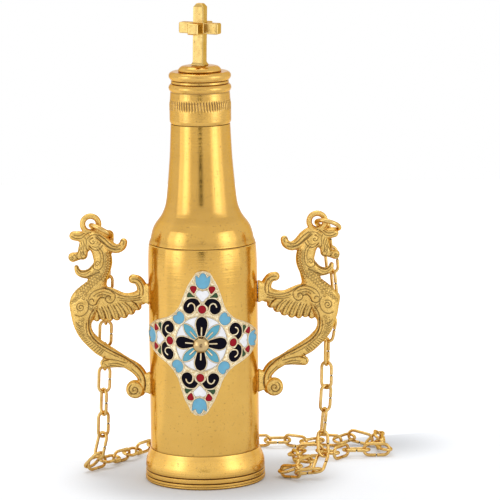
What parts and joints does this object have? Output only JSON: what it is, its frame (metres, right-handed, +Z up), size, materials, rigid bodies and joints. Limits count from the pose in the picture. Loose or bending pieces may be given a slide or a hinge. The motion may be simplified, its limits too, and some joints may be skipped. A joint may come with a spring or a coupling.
{
  "type": "anointing oil bottle",
  "caption": "Brass anointing oil bottle with a screw cap and cross, griffin handles, a curved enamel plate and a carrying chain.",
  "frame": {"origin": "centre of the foot's underside, on the surface the bottle stands on", "axes": "+Z up along the bottle's axis, the enamel plate faces -Y, the griffin handles are at -X and +X"},
  "size_m": [0.119, 0.0795, 0.1752],
  "materials": {
    "polished_brass": "polished",
    "cast_brass": "satin",
    "brass_wire": "polished",
    "enamel": "gloss",
    "liner": "matt"
  },
  "bodies": {
    "bottle": {"foot_ring": "polished_brass", "base_plate": "polished_brass", "body_tube": "polished_brass", "shoulder_neck": "polished_brass", "neck_spigot": "polished_brass", "enamel_plate": "enamel", "centre_boss": "polished_brass", "griffin_left": "cast_brass", "griffin_right": "cast_brass", "jump_ring_left": "brass_wire", "jump_ring_right": "brass_wire", "link_01": "brass_wire", "link_02": "brass_wire", "link_03": "brass_wire", "link_04": "brass_wire", "link_05": "brass_wire", "link_06": "brass_wire", "link_07": "brass_wire", "link_08": "brass_wire", "link_09": "brass_wire", "link_10": "brass_wire", "link_11": "brass_wire", "link_12": "brass_wire", "link_13": "brass_wire", "link_14": "brass_wire", "link_15": "brass_wire", "link_16": "brass_wire", "link_17": "brass_wire", "link_18": "brass_wire", "link_19": "brass_wire", "link_20": "brass_wire", "link_21": "brass_wire", "link_22": "brass_wire", "link_23": "brass_wire", "link_24": "brass_wire", "link_25": "brass_wire", "link_26": "brass_wire", "link_27": "brass_wire", "link_28": "brass_wire", "link_29": "brass_wire", "link_30": "brass_wire", "link_31": "brass_wire", "link_32": "brass_wire", "link_33": "brass_wire", "link_34": "brass_wire", "link_35": "brass_wire", "link_36": "brass_wire", "chain_heap": "brass_wire"},
    "cap_seal": {"cap_liner": "liner"},
    "cap": {"cap_shell": "polished_brass", "cap_dome": "polished_brass", "cross": "polished_brass"}
  },
  "joints": [
    {"name": "cap_lift", "type": "slide", "parent": "bottle", "child": "cap_seal", "axis": [0, 0, 1], "range_m": [0, 0.0121]},
    {"name": "cap_turn", "type": "hinge", "parent": "cap_seal", "child": "cap", "pos_m": [0, 0, 0.1316], "axis": [0, 0, 1], "range_deg": [0, 2160]}
  ],
  "couplings": [
    {"joint": "cap_lift", "follows": "cap_turn", "m_per_rad": 0.00031831}
  ]
}
